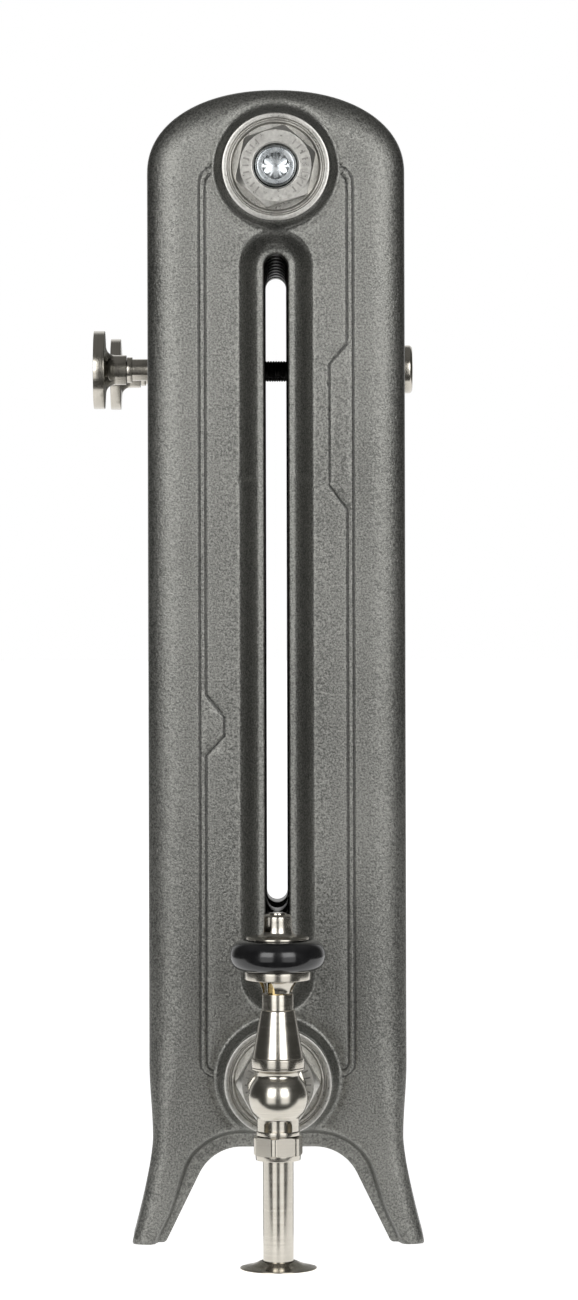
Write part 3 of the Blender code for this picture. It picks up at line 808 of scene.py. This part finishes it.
def casting_tree():
    """Raises a flat face into half a casting by its distances, and mirrors it into a whole one."""
    tree, inputs, size = group_tree("casting_relief", CASTING)
    side, depth, height = parts_of(Socket.node(tree, "GeometryNodeInputPosition"))
    x, z = side * 1000, height * 1000

    def field(name):
        return Socket.node(tree, "GeometryNodeInputNamedAttribute", {"Name": name}, data_type="FLOAT")

    def round_over(distance, inset):
        """0 at the inset or further in, and 1 at the edge, along a quarter circle."""
        share = 1 - (distance / inset).clamped()
        return 1 - (1 - share * share).clamped().root()

    def from_middle(level):
        """Distance from the middle line at a level."""
        return (x * x + (z - level) * (z - level)).root()

    def eased(share, low, high):
        return size[low] + (size[high] - size[low]) * share

    slot = from_middle(z.clamped(size["Slot low"], size["Slot high"]))
    hub = slot.maths("MINIMUM", from_middle(size["Lower hub"]), from_middle(size["Upper hub"]))
    up_leg = z.smooth(ANKLE, KNEE)
    above_leg = z.smooth(KNEE, THIGH)

    rim_inset = eased(above_leg, "Leg rim inset", "Rim inset")
    rim_depth = eased(above_leg, "Leg rim depth", "Rim depth")
    lip_edge = eased(up_leg, "Leg lip", "Arch lip")
    lip = 1 - field("arch").smooth(lip_edge, eased(up_leg, "Leg step", "Arch step"))
    share = ((slot - size["Valley floor"]) / (size["Valley edge"] - size["Valley floor"])).clamped()
    valley = 1 - (share ** size["Valley power"]).smooth(0.0, 1.0)
    moat = 1 - hub.smooth(size["Moat floor"], size["Moat edge"])
    raised = 1 - hub.smooth(size["Hub radius"], size["Hub foot"])
    tapping = 1 - hub.smooth(size["Tapping radius"] - 0.1, size["Tapping radius"] + 0.1)
    drop = size["Valley depth"] * valley
    drop = drop + size["Shoulder depth"] * (1 - slot.smooth(size["Valley floor"], size["Shoulder edge"]))
    drop = drop + rim_depth * round_over(field("rim"), rim_inset) * (1 - lip)
    drop = drop + size["Arch depth"] * lip
    drop = drop + size["Moat depth"] * moat * (1 - lip)
    drop = drop - size["Hub rise"] * raised * (1 - lip)
    drop = drop + size["Tapping depth"] * tapping
    drop = drop + size["Slot rounding"] * round_over(slot - size["Slot radius"], size["Slot rounding"])
    drop = drop + ARCH_EDGE * round_over(field("arch"), ARCH_EDGE)
    drop = drop + size["Sole rounding"] * round_over(z, size["Sole rounding"])

    offset = vector(tree, Y=(drop - size["Half thickness"]) * MM)
    values = {"Geometry": inputs.other("Geometry"), "Offset": offset}
    relief = Socket.node(tree, "GeometryNodeSetPosition", values)

    # The open edge is pulled out into a wall that ends on the middle plane.
    open_edge = Socket.node(tree, "GeometryNodeInputMeshEdgeNeighbors").below(1.5)
    values = {"Mesh": relief, "Selection": open_edge, "Offset Scale": 0.0}
    wall = Socket.node(tree, "GeometryNodeExtrudeMesh", values, mode="EDGES")
    flat = vector(tree, X=side, Z=height)
    values = {"Geometry": wall, "Selection": wall.other("Top"), "Position": flat}
    half = Socket.node(tree, "GeometryNodeSetPosition", values)

    mirrored = Socket.node(tree, "GeometryNodeTransform", {"Geometry": half, "Scale": (1, -1, 1)})
    other_half = Socket.node(tree, "GeometryNodeFlipFaces", {"Mesh": mirrored})
    values = {"Geometry": joined(half, other_half), "Distance": 2e-6}
    whole = Socket.node(tree, "GeometryNodeMergeByDistance", values)

    # Beads stand on the outer face only.
    bead = field("bead")
    plateau = (1 - bead.smooth(-BEAD_SHOULDER, 0.0)) * size["Bead height"]
    groove = (1 - (bead.size() / BEAD_LINE).clamped()) * size["Bead groove"]
    lift = vector(tree, Y=(groove - plateau) * depth.below(0.0) * MM)
    beaded = Socket.node(tree, "GeometryNodeSetPosition", {"Geometry": whole, "Offset": lift})
    smooth = Socket.node(tree, "GeometryNodeSetShadeSmooth", {0: beaded})
    close_tree(tree, inputs, smooth)
    return tree


def make_castings():
    """Two end sections and the plain ones between them."""
    tree = casting_tree()
    end_face = face_mesh("end_face", foot_outline(), bead_outlines(), END_FILL)
    end = grown("end_casting", end_face, tree, CAST_PAINT, CASTING)
    middle_face = face_mesh("middle_face", plain_outline(), [], MIDDLE_FILL)
    middle = grown("middle_casting", middle_face, tree, CAST_PAINT, CASTING)
    half_turn = Matrix.Rotation(math.pi, 4, "Z")
    for name, y in zip(SECTIONS, SECTION_Y):
        mesh = (end if name.endswith("foot") else middle).copy()
        if name == SECTIONS[-1]:
            mesh.transform(half_turn)
        place = Matrix.Translation((MIDDLE_X, y, 0))
        put(f"casting_{name}", mesh, CAST_PAINT, "radiator", "cast_iron_body", [name], place)


make_castings()

# --- end fittings

FACE_RADIUS = 19.5
FACE_HEIGHT = 19.4
VENT_TILT = math.radians(78.2)
BUSH_OUTSIDE = [
    (20.2, -14), (20.2, 1.8), (29.5, 1.8, 0.5), (29.5, 7.1, 0.8), (26.7, 7.1, 0.4), (26.4, 4.6, 0.2),
    (25.7, 4.6, 0.2), (25.3, 6.3, 0.5), (24.0, 5.9, 0.6), (23.5, 3.4), hexagon(23.1, 3.2),
    hexagon(23.1, FACE_HEIGHT, FACE_RADIUS, 1.15), (FACE_RADIUS, FACE_HEIGHT),
]
VENT_BORE = [(12.9, 19.4, 0.3), (12.1, 18.6, 0.3), (12.1, 8), (10.9, 8), (10.9, -14)]
OPEN_BORE = [(11.6, 19.4, 0.3), (11.0, 18.8), (11.0, -14)]
BLANK_FACE = [(12, 19.4), (11, 18.4, 0.4), (0, 18.4)]
GASKET = [(20.6, 0.2), (28.8, 0.2, 0.3), (28.8, 1.6, 0.3), (20.6, 1.6)]
VENT_PLUG = [
    (0, -8), (10.4, -8, 0.5), (10.4, 10.2), (11.3, 10.4), (11.3, 17.8, 0.2), (9.9, 18.5, 0.2),
    (7.4, 18.6, 0.2), hexagon(7.1, 18.0, blunt=0.05), hexagon(7.1, 11.0, blunt=0.05), (6.0, 10.8), (0, 9.4),
]
O_RING = [(10.6, 9.2), (11.2, 8.5, 0.4), (11.9, 9.2, 0.4), (11.2, 10.0, 0.4)]
TICKS = {
    "Count": 9,
    "Circle radius": 16.4 * MM,
    "Start": math.radians(-52),
    "Sweep": math.radians(104),
    "Length": 3.4 * MM,
    "Width": 0.9 * MM,
    "Rise": 0.5 * MM,
}


def tick_tree():
    """Two arcs of small raised bars on a bush's face, across from each other."""
    tree, inputs, size = group_tree("face_ticks", TICKS)
    values = {
        "Resolution": size["Count"],
        "Radius": size["Circle radius"],
        "Start Angle": size["Start"],
        "Sweep Angle": size["Sweep"],
    }
    arc_line = Socket.node(tree, "GeometryNodeCurveArc", values, mode="RADIUS")
    block = vector(tree, X=size["Length"], Y=size["Width"], Z=size["Rise"])
    bar = Socket.node(tree, "GeometryNodeMeshCube", {"Size": block})
    x, y, _ = parts_of(Socket.node(tree, "GeometryNodeInputPosition"))
    outwards = vector(tree, Z=x.maths("ARCTAN2", y, x))
    values = {"Points": arc_line, "Instance": bar, "Rotation": outwards}
    first = Socket.node(tree, "GeometryNodeInstanceOnPoints", values)
    values = {"Geometry": first, "Rotation": (0, 0, math.pi)}
    second = Socket.node(tree, "GeometryNodeTransform", values)
    close_tree(tree, inputs, joined(first, second))
    return tree


def make_bushes():
    """A hexagon fitting with its gasket in each of the four tappings, and the vent plug."""
    rows = (UPPER_Z, LOWER_Z)
    near_upper, near_lower = (Matrix.Translation((MIDDLE_X, NEAR_HUB, z)) @ TO_NEAR_END for z in rows)
    far_upper, far_lower = (Matrix.Translation((MIDDLE_X, FAR_HUB, z)) @ TO_FAR_END for z in rows)
    fittings = {
        "vent_bush": (BUSH_OUTSIDE + VENT_BORE, VENT_TILT, near_upper),
        "valve_bush": (BUSH_OUTSIDE + OPEN_BORE, 0, near_lower),
        "return_bush": (BUSH_OUTSIDE + OPEN_BORE, 0, far_lower),
        "far_top_plug": ([(0, -14), *BUSH_OUTSIDE, *BLANK_FACE], 0, far_upper),
    }
    ticks = grown("ticks", bpy.data.meshes.new("no_ticks"), tick_tree(), NIPPLE_IRON, TICKS)
    ticks.transform(Matrix.Translation((0, 0, FACE_HEIGHT * MM)))
    for name, (profile, tilt, place) in fittings.items():
        lathe(f"turned_{name}", name, profile, BUSH_IRON, "fitting_iron", 144, tilt, place=place)
        put(f"ticks_{name}", ticks.copy(), NIPPLE_IRON, "radiator", "fitting_iron", [], place)
        lathe(f"turned_{name}_gasket", f"{name}_gasket", GASKET, RUBBER, "rubber_seal", place=place)
    at_vent = {"body": "bleed_plug", "place": near_upper}
    lathe("turned_vent_plug", "vent_plug", VENT_PLUG, ZINC, "bright_plug", 144, math.radians(90), **at_vent)
    lathe("vent_o_ring", "vent_plug_o_ring", O_RING, RUBBER, "rubber_seal", **at_vent)


make_bushes()

# --- gaskets between the sections

JOINT_ROWS = {
    "Joints": len(SECTIONS) - 1,
    "Pitch": SECTION_Y[1] - SECTION_Y[0],
    "First joint": (SECTION_Y[0] + SECTION_Y[1]) / 2,
    "Middle": MIDDLE_X,
    "Lower row": LOWER_Z,
    "Upper row": UPPER_Z,
}
JOINT_GASKET = [(21, -0.35), (27.4, -0.35), (27.4, 0.35), (21, 0.35)]


def gasket_tree():
    """The input ring, repeated at every joint along two rows."""
    tree, inputs, size = group_tree("joint_gaskets", JOINT_ROWS)
    rows = []
    for row in ("Lower row", "Upper row"):
        start = vector(tree, X=size["Middle"], Y=size["First joint"], Z=size[row])
        values = {"Count": size["Joints"], "Start Location": start, "Offset": vector(tree, Y=size["Pitch"])}
        points = Socket.node(tree, "GeometryNodeMeshLine", values)
        values = {"Points": points, "Instance": inputs.other("Geometry")}
        rows.append(Socket.node(tree, "GeometryNodeInstanceOnPoints", values))
    close_tree(tree, inputs, joined(*rows))
    return tree


def make_joint_gaskets():
    """One piece with all the thin gaskets between the sections' hubs."""
    ring = turned("joint_gasket", JOINT_GASKET, 64)
    ring.transform(TO_FAR_END)
    mesh = grown("joint_gaskets", ring, gasket_tree(), RUBBER, JOINT_ROWS)
    shade_by_angle(mesh)
    put("joint_gaskets", mesh, RUBBER, "radiator", "rubber_seal", [])


make_joint_gaskets()

# --- wall stays

ROD = {"Length": 175.7 * MM, "Pitch": 1.5 * MM, "Core radius": 4.35 * MM}
ROD_START = -99.7
WALL_PLATE = [
    (5.35, -100), (5.35, -104), (22.3, -104, 0.5), (22.3, -97.6, 0.5), (8.45, -96.8, 5.4), (8.45, -85.4, 0.3),
    (5.35, -85.4),
]
STEP_SLEEVE = [(5.35, -85.1), (7.3, -85.1, 0.2), (7.3, -82, 0.3), (6.2, -82), (6.2, -66, 0.4), (5.35, -66)]
FRONT_NUT = [(0, 71.2), (12.9, 71.2, 0.2), (13.7, 72, 0.2), (13.7, 76.4, 0.6), (12.4, 77.6, 0.6), (0, 78.1)]


def thread_tree():
    """A round rod with a ridge that climbs round it, about Z."""
    tree, inputs, size = group_tree("rod_thread", ROD)
    values = {
        "Resolution": 20,
        "Rotations": size["Length"] / size["Pitch"],
        "Start Radius": size["Core radius"],
        "End Radius": size["Core radius"],
        "Height": size["Length"],
    }
    climb = Socket.node(tree, "GeometryNodeCurveSpiral", values)
    values = {"Resolution": 4, "Radius": size["Pitch"] * 0.46}
    ridge = Socket.node(tree, "GeometryNodeCurvePrimitiveCircle", values)
    values = {"Curve": climb, "Profile Curve": ridge, "Fill Caps": True}
    swept = Socket.node(tree, "GeometryNodeCurveToMesh", values)
    values = {"Vertices": 32, "Radius": size["Core radius"], "Depth": size["Length"]}
    core = Socket.node(tree, "GeometryNodeMeshCylinder", values)
    values = {"Geometry": core, "Translation": vector(tree, Z=size["Length"] / 2)}
    close_tree(tree, inputs, joined(swept, Socket.node(tree, "GeometryNodeTransform", values)))
    return tree


def make_stays():
    """Two wall stays, each with its wall plate, sleeve, threaded rod and front nut."""
    rod = grown("stay_rod", bpy.data.meshes.new("blank"), thread_tree(), OXIDE, ROD)
    rod.transform(Matrix.Translation((0, 0, ROD_START * MM)))
    shade_by_angle(rod)
    parts = {
        "stay_wall_plate": (turned("wall_plate", WALL_PLATE, 128), NICKEL_SIDEWAYS, "satin_nickel"),
        "stay_sleeve": (turned("sleeve", STEP_SLEEVE), NICKEL_SIDEWAYS, "satin_nickel"),
        "stay_rod": (rod, OXIDE, "black_steel"),
        "stay_front_nut": (turned("front_nut", FRONT_NUT, 128), NICKEL_SIDEWAYS, "satin_nickel"),
    }
    for side in ("near", "far"):
        place = Matrix.Translation((MIDDLE_X, centre(f"stay_rod_{side}").y, STAY_Z)) @ TO_ROOM
        for name, (mesh, material, slot_name) in parts.items():
            node = f"{name}_{side}"
            put(f"turned_{node}", mesh.copy(), material, "radiator", slot_name, [node], place)


make_stays()

# --- valve


def arc(centre_height, radius, low, high, steps):
    """Rings of a ball between two heights."""
    rings = []
    for height in np.linspace(low, high, steps):
        rings.append((math.sqrt(radius**2 - (height - centre_height) ** 2), float(height)))
    return rings


def prism(points, low, high):
    """A straight prism over a polygon in x and z, between two values of y, in millimetres."""
    made = bmesh.new()
    front = [made.verts.new((x * MM, low * MM, z * MM)) for x, z in points]
    back = [made.verts.new((x * MM, high * MM, z * MM)) for x, z in points]
    made.faces.new(front)
    made.faces.new(back[::-1])
    count = len(points)
    for i in range(count):
        k = (i + 1) % count
        made.faces.new((front[k], front[i], back[i], back[k]))
    bmesh.ops.recalc_face_normals(made, faces=made.faces)
    return closed_up(made, "prism")


def window_tool(angles, width, low, high, inner, outer, top_round=0.0):
    """Blocks that cut windows through a wall at these angles from the front."""
    made = bmesh.new()
    half = width / 2
    points = [(-half, low), (half, low), (half, high - top_round)]
    if top_round:
        for t in np.linspace(0, math.pi, 9)[1:-1]:
            points.append((half * math.cos(t), high - top_round + top_round * math.sin(t)))
    points.append((-half, high - top_round))
    for angle in angles:
        part = prism(points, -outer, -inner)
        part.transform(Matrix.Rotation(math.radians(angle), 4, "Z"))
        made.from_mesh(part)
    return closed_up(made, "window_tool")


BALL = arc(91, 16, 82.2, 102.0, 28)
VALVE_BODY = [
    (8.1, 64), (10.4, 64, 0.3), (10.4, 70.8), (11.7, 71.0, 0.3), (11.7, 73.2, 0.4), (11.3, 73.5),
    (11.4, 80.2, 0.6), *BALL[1:], (11.3, 103.4, 0.8), (12.2, 105.2, 0.8), (14.3, 106.3, 0.3), (14.3, 107.0),
    (9.5, 107.0), (9.5, 84.3), (5.5, 84.3), (5.5, 72), (8.1, 72),
]
BRANCH = [(0, 4), (13.2, 4), (13.2, 27, 0.6), (6.3, 27), (6.3, 8), (0, 8)]
RECESS = [(8.6, 73.4), (13.5, 73.4), (13.5, 84), (8.6, 84)]
UNION_NUT = [
    (13.7, 20.5), (15.4, 20.5), hexagon(17.5, 20.5, 15.4, -0.577), hexagon(17.5, 36.5, 15.4, 0.577),
    (15.4, 36.5), (11, 36.5), (11, 33.5), (13.7, 33.5),
]
UNION_TAIL = [(7, 27.3), (13.2, 27.3), (13.2, 33.2, 0.5), (10.4, 33.2), (10.4, 71), (7, 71)]
PIPE_NUT = [
    (7.9, 57.8), (12.0, 57.8, 0.3), (12.2, 60.2, 0.2), (12.2, 60.5), hexagon(14.1, 60.5, 12.5, -0.577, 0.6),
    hexagon(14.1, 70.5, 12.5, 0.577, 0.6), (12.5, 70.5), (10.9, 70.5), (10.9, 61), (7.9, 60.8),
]
PIPE_SLEEVE = [(7.8, 0.5), (8.2, 0.5), (8.2, 57.4), (7.8, 57.4)]
SUPPLY_PIPE = [(6.4, 0), (7.5, 0), (7.5, 71.6), (6.4, 71.6)]
FLOOR_PLATE = [(8.7, 0), (20.6, 0), (20.6, 0.6, 0.3), (14.5, 1.9, 3), (9.9, 4, 0.4), (8.7, 4)]
BONNET = [
    (3, 99.5), (9.1, 99.5), (9.1, 107.3), (14.4, 107.3, 0.4), (14.4, 112.2, 0.3), (13.6, 112.6, 0.2),
    (9.2, 137.7, 0.5), (8.45, 138.1, 0.2), (8.45, 146.4, 0.3), (5.9, 146.4), (5.9, 114), (3, 114),
]
WHEEL_CROWN = [
    (7.0, 146.9), (8.3, 146.9, 0.2), (8.6, 149.5, 2), (11, 153.6, 2), (17.65, 154.1, 0.3),
    (17.65, 158.4, 0.3), (12, 158.4), (12, 175.1), (9.1, 175.1), (9.1, 155.2), (7.4, 150.5),
]
WHEEL_CAP = [
    (0, 175.5), (16.9, 175.5, 0.2), (16.9, 176.6, 0.4), (10.5, 177.1, 1.0), (8.4, 178.4, 1.2),
    (7.7, 181.5, 2), (7.6, 187.7, 0.5), (6.6, 188.5, 0.4), (4.5, 188.7, 0.1), (4.4, 189.6, 0.2), (0, 189.6),
]
CAP_BORE = [(0, 170), (6.4, 170), (6.4, 187.0, 0.5), (0, 187.0)]
RING_LEVEL, RING_INSIDE, RING_MIDDLE = 167, 12.4, 17.6
RING_WIDE, RING_HIGH, RING_POWER = 8.0, 8.2, 0.92


def handwheel_profile():
    """A flattened ring, cut off straight on its inner side."""
    ring = [(RING_INSIDE, RING_LEVEL)]
    for angle in np.linspace(0, 2 * math.pi, 49)[1:-1]:
        radius = RING_MIDDLE - RING_WIDE * signed_power(math.cos(angle), RING_POWER)
        height = RING_LEVEL - RING_HIGH * signed_power(math.sin(angle), RING_POWER)
        ring.append((max(RING_INSIDE, radius), height))
    return ring


def make_valve():
    """The valve from the floor plate up to the cap of its wheel."""
    across = Matrix.Translation((0, 0, BODY_Z)) @ TO_FAR_END
    branch = turned("branch", BRANCH)
    branch.transform(across)
    body = boolean(turned("valve_body", VALVE_BODY, 128), branch, "UNION")
    window = window_tool([0], 15.0, 72.6, 79.6, 5, 14, 2.2)
    recess = boolean(turned("recess_ring", RECESS), window, "INTERSECT")
    body = boolean(body, recess, "DIFFERENCE")
    put("cast_valve_body", body, NICKEL, "radiator", "satin_nickel", ["valve_body"], VALVE_AXIS)

    union = {"place": VALVE_AXIS @ across}
    tilt = math.radians(-45)
    lathe("chamfered_union_nut", "union_nut", UNION_NUT, NICKEL_UNION, sides=144, phase=tilt, **union)
    lathe("union_tail", "union_tailpiece", UNION_TAIL, NICKEL_UNION, **union)
    tilt = math.radians(20)
    lathe("chamfered_pipe_nut", "compression_nut", PIPE_NUT, NICKEL, sides=144, phase=tilt)
    lathe("polished_pipe_sleeve", "pipe_sleeve", PIPE_SLEEVE, NICKEL)
    lathe("drawn_supply_pipe", "supply_pipe", SUPPLY_PIPE, COPPER, "copper_pipe")
    lathe("spun_floor_plate", "floor_plate", FLOOR_PLATE, NICKEL, sides=128, body="pipe_plate")
    lathe("turned_bonnet", "valve_bonnet", BONNET, NICKEL, sides=128)

    windows = window_tool((-42, 78, 198), 8.6, 146.0, 153.2, 4, 20)
    crown = boolean(turned("wheel_crown", WHEEL_CROWN, 128), windows, "DIFFERENCE")
    put("windowed_crown", crown, NICKEL, "wheel", "satin_nickel", ["wheel_carrier"], VALVE_AXIS)
    profile = handwheel_profile()
    lathe("lacquered_handwheel", "handwheel_ring", profile, BLACK, "gloss_black", 144, body="wheel")
    cap = boolean(turned("wheel_cap", WHEEL_CAP, 128), turned("cap_bore", CAP_BORE, 64), "DIFFERENCE")
    cap = boolean(cap, window_tool((-48, 132), 5.6, 179.6, 187.6, 3, 12), "DIFFERENCE")
    put("windowed_cap", cap, NICKEL, "wheel", "satin_nickel", ["wheel_cap"], VALVE_AXIS)


make_valve()

# --- nodes that keep their CAD shape

KEPT = {
    NIPPLE_IRON: [f"nipple_{row}_{n}" for row in ("top", "bottom") for n in range(1, 9)],
    BRASS: ["olive", "gland_nut", "valve_disc", "sensor_capsule"],
    STEEL: ["valve_spindle", "return_spring"],
}
for material, names in KEPT.items():
    for name in names:
        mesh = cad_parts[name].data
        mesh.materials.clear()
        mesh.materials.append(material)

# --- light, floor and camera

AIM = Vector((MIDDLE_X, VALVE_Y, 0.42))
LIGHT_DISTANCE = 1.7
LIGHT_ANGLE = 27
# Elevation in degrees, width and height in metres, power in watts.
SOFT_BOXES = {"tall": (4, 1.0, 2.0, 8.8), "upper": (14, 0.9, 0.9, 8.4)}
FLOOR_RADIUS = 7
FLOOR_DROP = 0.0006
BOARD_DROP = 0.0003
BOARD_HALF_WIDTH = 1.1
BOARD_BACK = 1.4
BOARD_IN_FRONT = 0.10


def soft_box(name, azimuth, elevation, width, height, power):
    """An area light that faces the object, at an azimuth from the camera's side."""
    turn, lift = math.radians(azimuth), math.radians(elevation)
    away = Vector((math.sin(turn) * math.cos(lift), -math.cos(turn) * math.cos(lift), math.sin(lift)))
    lamp = bpy.data.lights.new(name, "AREA")
    lamp.shape = "RECTANGLE"
    lamp.size = width
    lamp.size_y = height
    lamp.energy = power
    box = linked(name, lamp)
    box.location = AIM + away * LIGHT_DISTANCE
    box.rotation_euler = away.to_track_quat("Z", "Y").to_euler()


def paper(place):
    """White paper that glows a little more towards the back."""
    cloud = noise(place, 3, 2).smooth(0.3, 0.7)
    back = parts_of(place)[1].smooth(-0.6, 1.6)
    return {
        "Base Color": between(cloud, (0.86, 0.86, 0.86), (0.88, 0.88, 0.88)),
        "Emission Color": between(back, (0.90, 0.90, 0.90), (0.97, 0.97, 0.97)),
    }


PAPER = finish("pale_paper", paper, Roughness=0.9, Emission_Strength=1.0)


def sheet_of_paper(name, outline, height):
    """A flat sheet under the object that throws no light on it."""
    made = bmesh.new()
    made.faces.new([made.verts.new((x, y, height)) for x, y in outline])
    mesh = closed_up(made, name)
    mesh.materials.append(PAPER)
    paper_sheet = linked(name, mesh)
    paper_sheet.visible_diffuse = False
    return paper_sheet


def make_world():
    """A dim room, white behind the camera and where the background is seen."""
    world = bpy.data.worlds.new("studio")
    bpy.context.scene.world = world
    world.use_nodes = True
    tree = world.node_tree
    tree.nodes.clear()
    _, y, z = parts_of(Socket.node(tree, "ShaderNodeTexCoord").other("Generated"))
    seen = Socket.node(tree, "ShaderNodeLightPath")
    share = (y.smooth(0.60, 0.92) + z.smooth(0.45, 0.95) * 0.12 + seen).clamped()
    colour = between(share, (0.065, 0.065, 0.062), (1, 1, 1))
    light = Socket.node(tree, "ShaderNodeBackground", {"Color": colour, "Strength": 1.0})
    Socket.node(tree, "ShaderNodeOutputWorld", {"Surface": light})


def make_stage():
    """A white floor for the camera, a white board for reflections, and two pairs of soft boxes."""
    turns = np.linspace(0, 2 * math.pi, 65)[:-1]
    rim = [(FLOOR_RADIUS * math.cos(a), FLOOR_RADIUS * math.sin(a)) for a in turns]
    sheet_of_paper("studio_floor", rim, -FLOOR_DROP).visible_glossy = False
    front = VALVE_Y - BOARD_IN_FRONT
    board = [(-BOARD_HALF_WIDTH, front), (BOARD_HALF_WIDTH, front)]
    board += [(BOARD_HALF_WIDTH, BOARD_BACK), (-BOARD_HALF_WIDTH, BOARD_BACK)]
    sheet_of_paper("studio_board", board, -BOARD_DROP).visible_camera = False
    for side, azimuth in (("left", -LIGHT_ANGLE), ("right", LIGHT_ANGLE)):
        for name, sizes in SOFT_BOXES.items():
            soft_box(f"{name}_{side}", azimuth, *sizes)


def make_camera():
    """A long lens, level with the middle of the object and rolled a little."""
    view = bpy.data.cameras.new("camera")
    view.sensor_fit = "VERTICAL"
    view.sensor_height = 36
    view.lens = 152.95
    view.shift_y = -0.1801
    view.shift_x = 0.0105
    view.clip_end = 50
    camera = linked("camera", view)
    camera.location = (MIDDLE_X - 0.0005, -3.2775, 0.4546)
    camera.rotation_euler = (math.radians(90), math.radians(0.15), 0)
    bpy.context.scene.camera = camera
    bpy.context.scene.view_settings.view_transform = "Standard"


make_world()
make_stage()
make_camera()

# --- last update of the view layer

bpy.context.view_layer.update()
